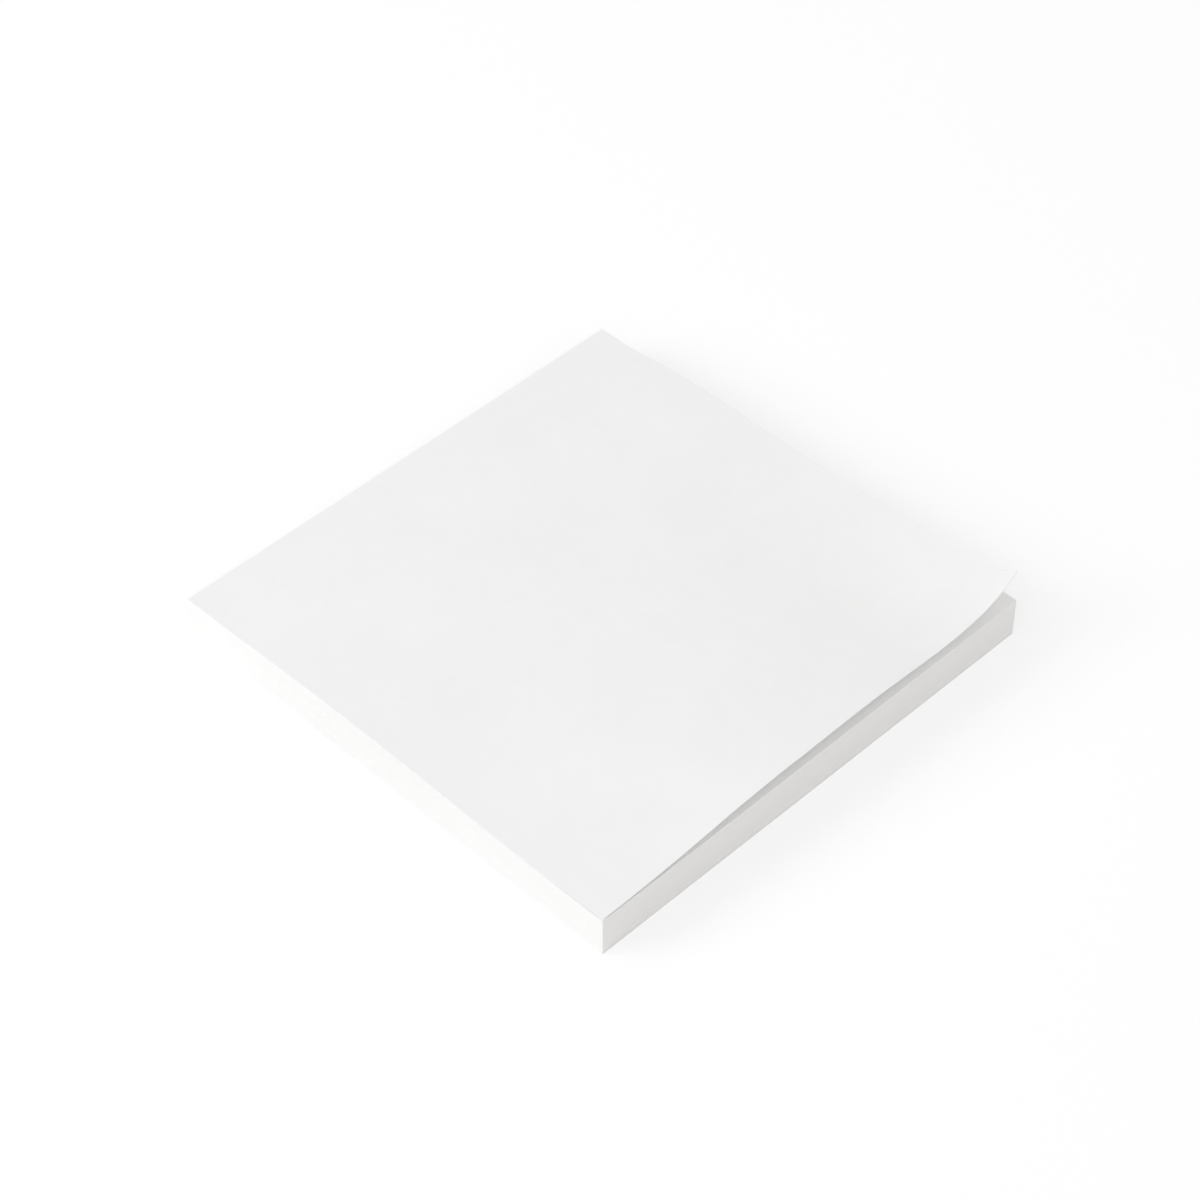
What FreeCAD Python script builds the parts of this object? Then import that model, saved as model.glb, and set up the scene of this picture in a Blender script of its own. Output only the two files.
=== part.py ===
import FreeCAD, Part
import math
import os

# A square pad of plain sticky notes, lying on its backing sheet.
# The top note is stuck down along the glued edge, lifts towards the free edge,
# and has one corner curled up. The block under it bows up a little at its left side.
# Millimetres. The origin is the middle of the underside and +Z is up.
# The glued edge is at +Y, the free edge at -Y, and the curled corner at +X, -Y.

# The pad
PAD_WIDTH = 76.2
PAD_LENGTH = 76.2
SHEET_THICKNESS = 0.1
BLOCK_SHEETS = 60
BACKING_THICKNESS = 0.17

# The adhesive on the back of the top note, as far as it still holds
ADHESIVE_WIDTH = 4.5
ADHESIVE_THICKNESS = 0.03

# How far the block bows up at its left side, and how the bow runs at even steps
# from the adhesive to the free edge
LEFT_SIDE_BOW = 0.62
LEFT_SIDE_SHAPE = [0, 0.8, 1, 0.45, 0, 0]

# How far the top note stands off the block at its corners and between them,
# before the curl, and how its edges run between the corners at even steps
FLAT_CORNER_LIFT = 0.25
CURLED_CORNER_LIFT = 3.6
RIGHT_SIDE_LIFT = 1.75
RIGHT_SIDE_SHAPE = [0.56, 0.64, 0.55, 0.66, 0.87, 1, 0.95]
FREE_EDGE_LIFT = 2.15
FREE_EDGE_SHAPE = [0.32, 0.8, 0.97, 1, 0.84]

# The curled corner: the curl runs square to the diagonal of the note
CURL_LENGTH = 5.8
CURL_RADIUS = 9.4

# About how long each span of the smooth surfaces is
SURFACE_SPAN = 2.0

# Heights of the layers
BLOCK_THICKNESS = BLOCK_SHEETS * SHEET_THICKNESS
BLOCK_TOP = BACKING_THICKNESS + BLOCK_THICKNESS
TOP_NOTE_Z = BLOCK_TOP + ADHESIVE_THICKNESS

RIGHT_X = PAD_WIDTH / 2
GLUED_Y = PAD_LENGTH / 2
FREE_Y = -PAD_LENGTH / 2
ADHESIVE_Y = GLUED_Y - ADHESIVE_WIDTH

# The lift starts one span past the adhesive, so that it runs out smoothly into it
RISE_START_Y = ADHESIVE_Y - SURFACE_SPAN


def layer(thickness, z, length=PAD_LENGTH):
    """A flat layer as wide as the pad, measured from the glued edge."""
    corner = FreeCAD.Vector(-RIGHT_X, GLUED_Y - length, z)
    return Part.makeBox(PAD_WIDTH, length, thickness, corner)


def smooth_run(heights):
    """A smooth curve through evenly spaced heights, as a function of 0 to 1."""
    steps = [index / (len(heights) - 1) for index in range(len(heights))]
    curve = Part.BSplineCurve()
    curve.interpolate(
        Points=[FreeCAD.Vector(step, 0, high) for step, high in zip(steps, heights)],
        Parameters=steps,
    )
    return lambda share: curve.value(share).z


left_side_bow = smooth_run([LEFT_SIDE_BOW * share for share in LEFT_SIDE_SHAPE])
right_side = smooth_run(
    [0] + [RIGHT_SIDE_LIFT * share for share in RIGHT_SIDE_SHAPE] + [CURLED_CORNER_LIFT]
)
free_edge = smooth_run(
    [FLAT_CORNER_LIFT]
    + [FREE_EDGE_LIFT * share for share in FREE_EDGE_SHAPE]
    + [CURLED_CORNER_LIFT]
)


def share_across(x):
    """From 0 at the left side to 1 at the right side."""
    return (x + RIGHT_X) / PAD_WIDTH


def share_down(y):
    """From 0 beside the adhesive to 1 at the free edge."""
    return max(0, (RISE_START_Y - y) / (RISE_START_Y - FREE_Y))


def block_bow(x, y):
    """How far the block's top bows up, which fades from its left side to its right."""
    return (1 - share_across(x)) ** 2 * left_side_bow(share_down(y))


def note_lift(x, y):
    """How far the top note stands off the block, blended from its edges."""
    across = share_across(x)
    down = share_down(y)
    left_side = FLAT_CORNER_LIFT * down**4
    sides = (1 - across) * left_side + across * right_side(down)
    corners = (1 - across) * FLAT_CORNER_LIFT + across * CURLED_CORNER_LIFT
    return sides + down**2 * (free_edge(across) - corners)


def note_point(x, y):
    """Where the point x, y of the flat note goes on its underside."""
    point = FreeCAD.Vector(x, y, TOP_NOTE_Z + block_bow(x, y) + note_lift(x, y))
    to_corner = FreeCAD.Vector(1, -1, 0).normalize()
    corner = FreeCAD.Vector(RIGHT_X, FREE_Y, 0)
    past = CURL_LENGTH + (FreeCAD.Vector(x, y, 0) - corner).dot(to_corner)
    if past <= 0:
        return point
    turn = past / CURL_RADIUS
    forward = CURL_RADIUS * math.sin(turn)
    upward = CURL_RADIUS * (1 - math.cos(turn))
    return point + to_corner * (forward - past) + FreeCAD.Vector(0, 0, upward)


def note_normal(x, y):
    """The direction straight off the note's upper side."""
    step = SHEET_THICKNESS / 10
    along_x = note_point(x + step, y) - note_point(x - step, y)
    along_y = note_point(x, y + step) - note_point(x, y - step)
    return along_x.cross(along_y).normalize()


def pole_places(knots):
    """Where the poles of a cubic surface stand, so that flat parts keep their size."""
    padded = knots[:1] * 2 + knots + knots[-1:] * 2
    return [sum(padded[index : index + 3]) / 3 for index in range(len(padded) - 2)]


def even_knots(start, end):
    count = math.ceil((end - start) / SURFACE_SPAN)
    return [start + (end - start) * index / count for index in range(count + 1)]


def smooth_face(place):
    """A face from the free edge to the adhesive, where place moves each flat point."""
    x_knots = even_knots(-RIGHT_X, RIGHT_X)
    y_knots = even_knots(FREE_Y, ADHESIVE_Y)
    surface = Part.BSplineSurface()
    surface.buildFromPolesMultsKnots(
        [[place(x, y) for y in pole_places(y_knots)] for x in pole_places(x_knots)],
        [4] + [1] * (len(x_knots) - 2) + [4],
        [4] + [1] * (len(y_knots) - 2) + [4],
        x_knots,
        y_knots,
        False,
        False,
        3,
        3,
    )
    return surface.toShape()


def closed_between(underside, upper_side):
    """The solid between two faces, with four walls along its cut edges."""
    walls = [
        Part.makeRuledSurface(low, high)
        for low, high in zip(underside.Edges, upper_side.Edges)
    ]
    shell = Part.makeShell([underside, upper_side] + walls)
    shell.sewShape()
    return Part.makeSolid(shell)


def note_block():
    """All the notes under the top one: flat where they are glued, then bowed."""
    glued = layer(BLOCK_THICKNESS, BACKING_THICKNESS, ADHESIVE_WIDTH)
    bowed = closed_between(
        smooth_face(lambda x, y: FreeCAD.Vector(x, y, BACKING_THICKNESS)),
        smooth_face(lambda x, y: FreeCAD.Vector(x, y, BLOCK_TOP + block_bow(x, y))),
    )
    return glued.fuse(bowed)


def top_sheet():
    """The top note, of even thickness: flat where it is stuck down, then lifted."""
    stuck = layer(SHEET_THICKNESS, TOP_NOTE_Z, ADHESIVE_WIDTH)
    lifted = closed_between(
        smooth_face(note_point),
        smooth_face(
            lambda x, y: note_point(x, y) + note_normal(x, y) * SHEET_THICKNESS
        ),
    )
    return stuck.fuse(lifted)


def main():
    pieces = {
        "backing_sheet": layer(BACKING_THICKNESS, 0),
        "note_block": note_block(),
        "adhesive_band": layer(ADHESIVE_THICKNESS, BLOCK_TOP, ADHESIVE_WIDTH),
        "top_sheet": top_sheet(),
    }
    os.makedirs("parts", exist_ok=True)
    for name, shape in pieces.items():
        shape.exportStep(f"parts/{name}.step")
        print(name, len(shape.Solids), shape.isValid(), round(shape.Volume, 3), "mm3")


main()
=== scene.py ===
import math
import random

import bmesh
import bpy
import numpy as np
from mathutils import Matrix, Vector


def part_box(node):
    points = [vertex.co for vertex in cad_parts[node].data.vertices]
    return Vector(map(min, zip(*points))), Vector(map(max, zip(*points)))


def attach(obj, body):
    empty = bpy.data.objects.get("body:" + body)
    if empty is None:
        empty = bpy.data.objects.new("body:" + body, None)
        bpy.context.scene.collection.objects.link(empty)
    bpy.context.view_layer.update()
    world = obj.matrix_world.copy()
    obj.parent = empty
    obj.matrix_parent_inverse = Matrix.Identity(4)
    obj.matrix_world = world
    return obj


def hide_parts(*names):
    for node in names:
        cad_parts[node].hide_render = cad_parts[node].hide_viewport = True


# A square pad of plain sticky notes on a white ground. Metres, in the frame of the model.

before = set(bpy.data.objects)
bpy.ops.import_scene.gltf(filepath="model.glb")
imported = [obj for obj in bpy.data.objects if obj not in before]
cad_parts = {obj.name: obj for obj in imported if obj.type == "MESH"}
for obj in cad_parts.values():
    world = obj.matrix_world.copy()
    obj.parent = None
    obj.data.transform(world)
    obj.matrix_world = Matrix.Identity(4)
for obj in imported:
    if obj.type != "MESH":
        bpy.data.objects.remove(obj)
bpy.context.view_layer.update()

MM = 0.001
random.seed(7)

# Camera, fitted to the corners of the pad in the photograph
CAMERA_AIM = Vector((-0.24, 0.18, 6.21)) * MM
CAMERA_DISTANCE = 439.4 * MM
CAMERA_ELEVATION = math.radians(45.18)
CAMERA_YAW = math.radians(-45.11)
CAMERA_ROLL = math.radians(0.14)
CAMERA_LENS = 101.37
SENSOR = 36

# Light: a soft lamp from the camera's left, and a sky that is brightest in a ring part
# way up and leans to the lamp's side
SKY_PEAK = 1.37
SKY_PEAK_HEIGHT = 0.60
SKY_FALL = 9.4
SKY_LEAN_X = -0.41
SKY_LEAN_Y = -0.08
SKY_TINT = (1.0, 0.994, 0.98)
LAMP_TINT = (0.925, 0.955, 1.0)
LAMP_YAW = math.radians(150)
LAMP_ELEVATION = math.radians(28)
LAMP_DISTANCE = 600 * MM
LAMP_SIZE = 300 * MM
LAMP_POWER = 0.80

# The ground shows nearly white, with a faint shadow. The veil is the share of its
# glow in what the camera sees.
GROUND_SIZE = 3.0
GROUND_WHITE = (0.92, 0.92, 0.931)
GROUND_GLOW = 1.172
GROUND_VEIL = 0.46

# Tones of the top note, of the leaves under it, of the backing and of the adhesive
NOTE_WHITE = (0.971, 0.973, 0.978)
NOTE_SHADE = (0.901, 0.903, 0.909)
# The leaves' tones are warmer than the top note's. On the cut edges that is their own
# tone. On the leaves' tops it is painted warm shade, as they show only in the shadow
# under the lifted note.
LEAF_WHITE = (0.965, 0.962, 0.956)
LEAF_SHADE = (0.925, 0.921, 0.913)
BACKING_TONE = (0.90, 0.895, 0.885)
BACKING_SHADE = (0.86, 0.855, 0.84)
ADHESIVE_TONE = (0.88, 0.88, 0.86)

# How glossy the papers and their cut edges are, and how deep their bump is
PAPER_GLOSS = 0.25
CUT_GLOSS = 0.2
BUMP_DEPTH = 0.01 * MM

# How often each pattern repeats in a millimetre, along X, Y and Z
PAPER_CLOUDS = (0.1, 0.1, 0.1)
PAPER_FORMATION = (0.45, 0.45, 0.45)
FIBRES_ALONG = (2.0, 9.0, 9.0)
FIBRES_ACROSS = (9.0, 2.2, 9.0)
PAPER_GRAINS = (14.0, 14.0, 14.0)
SHEET_TONES = (0.02, 0.02, 12.0)
CUT_FUZZ = (6.0, 6.0, 14.0)
BACKING_CLOUDS = (0.12, 0.12, 0.12)
ADHESIVE_BEADS = (20.0, 20.0, 20.0)

# The pad as built in the model
PAD_LOW, PAD_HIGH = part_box("backing_sheet")
BAND_LOW, BAND_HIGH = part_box("adhesive_band")
RIGHT_X = PAD_HIGH.x
GLUED_Y = PAD_HIGH.y
FREE_Y = PAD_LOW.y
BLOCK_LOW_Z = PAD_HIGH.z
BLOCK_TOP_Z = BAND_LOW.z
NOTE_Z = BAND_HIGH.z
NOTE_THICKNESS = 0.1 * MM
SURFACE_SPAN = 2.0 * MM
RISE_START_Y = BAND_LOW.y - SURFACE_SPAN

# Bows and lifts, and how they run at even steps, as in the model
LEFT_SIDE_BOW = 0.62 * MM
LEFT_SIDE_SHAPE = [0, 0.8, 1, 0.45, 0, 0]
FLAT_CORNER_LIFT = 0.25 * MM
CURLED_CORNER_LIFT = 3.6 * MM
RIGHT_SIDE_LIFT = 1.75 * MM
RIGHT_SIDE_SHAPE = [0.56, 0.64, 0.55, 0.66, 0.87, 1, 0.95]
FREE_EDGE_LIFT = 2.15 * MM
FREE_EDGE_SHAPE = [0.32, 0.8, 0.97, 1, 0.84]
CURL_LENGTH = 5.8 * MM
CURL_RADIUS = 9.4 * MM

# The net of the top note, and the angle past which its edges stay sharp
NOTE_CELLS = 38
NOTE_SMOOTHING = 2
SHARP_ANGLE = math.radians(40)

# The notes under it, their net, the gaps between them and how far out of line they lie
LEAVES = 60
LEAF_CELLS = 12
LEAF_GAP = 0.004 * MM
LEAF_DRIFT = 0.015 * MM


class Wire:
    """A value on a node's output, so that shader maths reads as plain expressions."""

    def __init__(self, recipe, socket):
        self.recipe = recipe
        self.socket = socket

    def maths(self, operation, first, second):
        return self.recipe.add(
            "ShaderNodeMath", {"operation": operation}, {0: first, 1: second}
        )

    def __add__(self, other):
        return self.maths("ADD", self, other)

    def __mul__(self, other):
        return self.maths("MULTIPLY", self, other)

    def __sub__(self, other):
        return self.maths("SUBTRACT", self, other)

    def __rsub__(self, other):
        return self.maths("SUBTRACT", other, self)

    __radd__ = __add__
    __rmul__ = __mul__


class Recipe:
    """The nodes of one material, or of the sky."""

    def __init__(self, owner):
        owner.use_nodes = True
        self.owner = owner
        self.nodes = owner.node_tree.nodes
        self.links = owner.node_tree.links
        self.nodes.clear()

    def add(self, kind, settings={}, inputs={}, output=0):
        node = self.nodes.new(kind)
        for key, value in settings.items():
            setattr(node, key, value)
        for key, value in inputs.items():
            if isinstance(value, Wire):
                self.links.new(value.socket, node.inputs[key])
            else:
                node.inputs[key].default_value = value
        return Wire(self, node.outputs[output] if node.outputs else None)

    def place(self, scale):
        """Object coordinates in millimetres, times a scale for each axis."""
        coordinates = self.add("ShaderNodeTexCoord", output="Object")
        scales = [1 / MM * part for part in scale]
        return self.add(
            "ShaderNodeMapping", {}, {"Vector": coordinates, "Scale": scales}
        )

    def noise(self, scale, detail=2.0, roughness=0.5, distortion=0.0):
        return self.add(
            "ShaderNodeTexNoise",
            {},
            {
                "Vector": self.place(scale),
                "Scale": 1.0,
                "Detail": detail,
                "Roughness": roughness,
                "Distortion": distortion,
            },
        )

    def mix(self, factor, first, second):
        """One colour going over to another."""
        return self.add(
            "ShaderNodeMix",
            {"data_type": "RGBA"},
            {0: factor, 6: first, 7: second},
            output=2,
        )

    def bump(self, height, strength):
        """Small hollows and ridges from a height."""
        return self.add(
            "ShaderNodeBump",
            {},
            {"Strength": strength, "Distance": BUMP_DEPTH, "Height": height},
        )

    def solid_surface(self, colour, roughness, bump, gloss=0.5):
        """The finished material from its colour, roughness and bump."""
        surface = self.add(
            "ShaderNodeBsdfPrincipled",
            {},
            {
                "Base Color": colour,
                "Roughness": roughness,
                "Specular IOR Level": gloss,
                "Normal": bump,
            },
        )
        return self.finish(surface)

    def finish(self, surface, kind="ShaderNodeOutputMaterial"):
        self.add(kind, {}, {"Surface": surface})
        return self.owner


def new_recipe(name):
    return Recipe(bpy.data.materials.new(name))


def fibres(recipe):
    """Fine strands along X and Y with grains between them, as a height near 0.5."""
    along = recipe.noise(FIBRES_ALONG, detail=3, distortion=0.6)
    across = recipe.noise(FIBRES_ACROSS, detail=3, distortion=0.6)
    grains = recipe.noise(PAPER_GRAINS, detail=2)
    return along * 0.4 + across * 0.4 + grains * 0.2


def opaque(colour):
    return (*colour, 1.0)


def plain_paper(name, white, tone):
    """Plain white uncoated paper: soft clouds, fine fibres and a dull surface."""
    recipe = new_recipe(name)
    clouds = recipe.noise(PAPER_CLOUDS, detail=2, roughness=0.5)
    formation = recipe.noise(PAPER_FORMATION, detail=2, roughness=0.6)
    fibre = fibres(recipe)
    shade = clouds * 0.5 + formation * 0.35 + fibre * 0.15
    colour = recipe.mix(shade, opaque(white), opaque(tone))
    bump = recipe.bump(fibre, strength=0.25)
    return recipe.solid_surface(colour, fibre * 0.2 + 0.75, bump, PAPER_GLOSS)


def cut_edges():
    """The sides of the stack: each cut sheet has a slightly different tone."""
    recipe = new_recipe("cut_edges")
    sheets = recipe.noise(SHEET_TONES, detail=2, roughness=0.7)
    fuzz = recipe.noise(CUT_FUZZ, detail=2)
    shade = sheets * 0.7 + fuzz * 0.3
    colour = recipe.mix(shade, opaque(LEAF_WHITE), opaque(LEAF_SHADE))
    bump = recipe.bump(fuzz, strength=0.2)
    return recipe.solid_surface(colour, fuzz * 0.15 + 0.8, bump, CUT_GLOSS)


def backing_paper():
    """Slightly heavier, off-white paper with a smooth release coating."""
    recipe = new_recipe("backing_paper")
    clouds = recipe.noise(BACKING_CLOUDS, detail=4, roughness=0.6)
    fibre = fibres(recipe)
    shade = clouds * 0.7 + fibre * 0.3
    colour = recipe.mix(shade, opaque(BACKING_TONE), opaque(BACKING_SHADE))
    bump = recipe.bump(fibre, strength=0.2)
    return recipe.solid_surface(colour, clouds * 0.2 + 0.45, bump)


def tacky_adhesive():
    """A thin clear coat of small soft beads, duller where they lie close."""
    recipe = new_recipe("tacky_adhesive")
    beads = recipe.noise(ADHESIVE_BEADS, detail=1)
    colour = recipe.mix(beads, opaque(ADHESIVE_TONE), opaque(NOTE_SHADE))
    bump = recipe.bump(beads, strength=0.4)
    return recipe.solid_surface(colour, beads * 0.3 + 0.25, bump)


def white_ground():
    """Matt white that shows nearly white itself and keeps a faint shadow."""
    recipe = new_recipe("white_ground")
    matt = recipe.add("ShaderNodeBsdfDiffuse", {}, {"Color": opaque(GROUND_WHITE)})
    glow = recipe.add(
        "ShaderNodeEmission", {}, {"Color": opaque([1.0] * 3), "Strength": GROUND_GLOW}
    )
    seen = recipe.add("ShaderNodeLightPath", output="Is Camera Ray")
    mirrored = recipe.add("ShaderNodeLightPath", output="Is Glossy Ray")
    through = recipe.add("ShaderNodeLightPath", output="Is Transmission Ray")
    veil = (seen + mirrored + through) * GROUND_VEIL
    return recipe.finish(
        recipe.add("ShaderNodeMixShader", {}, {0: veil, 1: matt, 2: glow})
    )


def new_piece(name, shape, *materials):
    """An object at the origin from a bmesh."""
    mesh = bpy.data.meshes.new(name)
    shape.to_mesh(mesh)
    shape.free()
    for material in materials:
        mesh.materials.append(material)
    piece = bpy.data.objects.new(name, mesh)
    bpy.context.scene.collection.objects.link(piece)
    return piece


def smoothed(piece, levels):
    """A bmesh of the piece's net once it is subdivided and rounded."""
    smooth = piece.modifiers.new("smooth", "SUBSURF")
    smooth.levels = smooth.render_levels = levels
    smooth.boundary_smooth = "PRESERVE_CORNERS"
    shape = bmesh.new()
    shape.from_object(piece, bpy.context.evaluated_depsgraph_get())
    piece.modifiers.clear()
    return shape


def smooth_run(lifts):
    """A natural cubic spline through evenly spaced lifts, as a function of 0 to 1."""
    count = len(lifts) - 1
    system = np.eye(count + 1)
    wanted = np.zeros(count + 1)
    for index in range(1, count):
        system[index, index - 1 : index + 2] = (1, 4, 1)
        wanted[index] = 6 * (lifts[index - 1] - 2 * lifts[index] + lifts[index + 1])
    bends = np.linalg.solve(system, wanted)

    def value(share):
        low = min(int(share * count), count - 1)
        after = share * count - low
        before = 1 - after
        straight = before * lifts[low] + after * lifts[low + 1]
        curve = (before**3 - before) * bends[low] + (after**3 - after) * bends[low + 1]
        return straight + curve / 6

    return value


left_side_bow = smooth_run([LEFT_SIDE_BOW * share for share in LEFT_SIDE_SHAPE])
right_side = smooth_run(
    [0] + [RIGHT_SIDE_LIFT * share for share in RIGHT_SIDE_SHAPE] + [CURLED_CORNER_LIFT]
)
free_edge = smooth_run(
    [FLAT_CORNER_LIFT]
    + [FREE_EDGE_LIFT * share for share in FREE_EDGE_SHAPE]
    + [CURLED_CORNER_LIFT]
)


def share_across(x):
    """From 0 at the left side to 1 at the right side."""
    return min(max(x / (2 * RIGHT_X) + 0.5, 0), 1)


def share_down(y):
    """From 0 beside the adhesive to 1 at the free edge."""
    return min(max((RISE_START_Y - y) / (RISE_START_Y - FREE_Y), 0), 1)


def block_bow(x, y):
    """How far the block's top bows up, which fades from its left side to its right."""
    return (1 - share_across(x)) ** 2 * left_side_bow(share_down(y))


def note_lift(x, y):
    """How far the top note stands off the block, blended from its edges."""
    across = share_across(x)
    down = share_down(y)
    left_side = FLAT_CORNER_LIFT * down**4
    sides = (1 - across) * left_side + across * right_side(down)
    corners = (1 - across) * FLAT_CORNER_LIFT + across * CURLED_CORNER_LIFT
    return sides + down**2 * (free_edge(across) - corners)


def note_point(x, y):
    """Where the point x, y of the flat note goes on its underside."""
    point = Vector((x, y, NOTE_Z + block_bow(x, y) + note_lift(x, y)))
    to_corner = Vector((1, -1, 0)).normalized()
    past = CURL_LENGTH + Vector((x - RIGHT_X, y - FREE_Y, 0)).dot(to_corner)
    if past <= 0:
        return point
    turn = past / CURL_RADIUS
    forward = CURL_RADIUS * math.sin(turn)
    upward = CURL_RADIUS * (1 - math.cos(turn))
    return point + to_corner * (forward - past) + Vector((0, 0, upward))


def top_note(material):
    """The lifted top note: a coarse net, smoothed, then given its thickness."""
    net = bmesh.new()
    bmesh.ops.create_grid(net, x_segments=NOTE_CELLS, y_segments=NOTE_CELLS, size=1)
    for vertex in net.verts:
        vertex.co = note_point(vertex.co.x * RIGHT_X, vertex.co.y * GLUED_Y)
    piece = new_piece("top_note", net, material)
    sheet = smoothed(piece, NOTE_SMOOTHING)
    bmesh.ops.solidify(sheet, geom=sheet.faces, thickness=-NOTE_THICKNESS)
    sheet.to_mesh(piece.data)
    sheet.free()
    piece.data.shade_smooth()
    piece.data.set_sharp_from_angle(angle=SHARP_ANGLE)
    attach(piece, "root")
    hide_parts("top_sheet")


def note_leaves(paper, edges):
    """The other notes, each a hair out of line with the next, the upper ones bowed."""
    pitch = (BLOCK_TOP_Z - BLOCK_LOW_Z) / LEAVES
    stack = bmesh.new()
    for index in range(LEAVES):
        leaf = bmesh.ops.create_grid(
            stack, x_segments=LEAF_CELLS, y_segments=LEAF_CELLS, size=RIGHT_X
        )
        shift_x = random.uniform(-LEAF_DRIFT, LEAF_DRIFT)
        shift_y = random.uniform(-LEAF_DRIFT, LEAF_DRIFT)
        for vertex in leaf["verts"]:
            bow = block_bow(vertex.co.x, vertex.co.y) * (index + 1) / LEAVES
            vertex.co += Vector((shift_x, shift_y, BLOCK_LOW_Z + index * pitch + bow))
    stack.normal_update()
    bmesh.ops.solidify(stack, geom=stack.faces, thickness=-(pitch - LEAF_GAP))
    stack.normal_update()
    # Flat faces take the leaf paper, whose warmer tone is painted warm shade. Upright
    # faces take the cut edges.
    for face in stack.faces:
        upright = abs(face.normal.z) < 0.5
        face.material_index = 1 if upright else 0
    piece = new_piece("note_leaves", stack, paper, edges)
    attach(piece, "root")
    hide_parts("note_block")


def finish_node(name, material):
    """Gives a piece that stays as modelled its finish."""
    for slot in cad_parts[name].material_slots:
        slot.material = material


def ground():
    """The flat surface that the pad lies on."""
    floor = bmesh.new()
    bmesh.ops.create_grid(floor, x_segments=1, y_segments=1, size=GROUND_SIZE / 2)
    piece = new_piece("ground", floor, white_ground())


def sky():
    """White light from all round, strongest part way up. The camera sees plain white."""
    recipe = Recipe(bpy.data.worlds.new("sky"))
    direction = recipe.add("ShaderNodeTexCoord", output="Generated")
    x, y, z = (
        recipe.add("ShaderNodeSeparateXYZ", {}, {0: direction}, output=axis)
        for axis in "XYZ"
    )
    off_ring = z - SKY_PEAK_HEIGHT
    ring = SKY_PEAK - off_ring * off_ring * SKY_FALL
    leaning = ring + x * SKY_LEAN_X + y * SKY_LEAN_Y
    strength = recipe.add(
        "ShaderNodeMath", {"operation": "MAXIMUM"}, {0: leaning, 1: 0.0}
    )
    soft = recipe.add(
        "ShaderNodeBackground", {}, {"Color": opaque(SKY_TINT), "Strength": strength}
    )
    white = recipe.add(
        "ShaderNodeBackground", {}, {"Color": opaque([1.0] * 3), "Strength": 1.0}
    )
    seen = recipe.add("ShaderNodeLightPath", output="Is Camera Ray")
    mix = recipe.add("ShaderNodeMixShader", {}, {0: seen, 1: soft, 2: white})
    bpy.context.scene.world = recipe.finish(mix, "ShaderNodeOutputWorld")


def lamp():
    """A large soft lamp from the camera's left, aimed at the pad."""
    light = bpy.data.lights.new("window", "AREA")
    light.shape = "DISK"
    light.size = LAMP_SIZE
    light.energy = LAMP_POWER
    light.color = LAMP_TINT
    holder = bpy.data.objects.new("window", light)
    flat = Vector((math.cos(LAMP_YAW), math.sin(LAMP_YAW), 0))
    towards = flat * math.cos(LAMP_ELEVATION) + Vector((0, 0, math.sin(LAMP_ELEVATION)))
    holder.location = towards * LAMP_DISTANCE
    holder.rotation_euler = towards.to_track_quat("Z", "Y").to_euler()
    bpy.context.scene.collection.objects.link(holder)


def camera():
    """A long lens that looks down on the pad past its near corner."""
    lens = bpy.data.cameras.new("camera")
    lens.lens = CAMERA_LENS
    lens.sensor_width = SENSOR
    lens.clip_start = 10 * MM
    holder = bpy.data.objects.new("camera", lens)
    turn = (
        Matrix.Rotation(CAMERA_YAW, 4, "Z")
        @ Matrix.Rotation(math.pi / 2 - CAMERA_ELEVATION, 4, "X")
        @ Matrix.Rotation(CAMERA_ROLL, 4, "Z")
    )
    backwards = turn.col[2].to_3d()
    place = Matrix.Translation(CAMERA_AIM + backwards * CAMERA_DISTANCE)
    holder.matrix_world = place @ turn
    bpy.context.scene.collection.objects.link(holder)
    bpy.context.scene.camera = holder


bpy.context.scene.view_settings.view_transform = "Standard"
camera()
lamp()
sky()
ground()
top_note(plain_paper("note_paper", NOTE_WHITE, NOTE_SHADE))
# The leaves' tops take the cut edges' warmer tones as painted warm shade for the shadowed
# strip under the lifted note.
note_leaves(plain_paper("leaf_paper_warm_shade", LEAF_WHITE, LEAF_SHADE), cut_edges())
finish_node("backing_sheet", backing_paper())
finish_node("adhesive_band", tacky_adhesive())
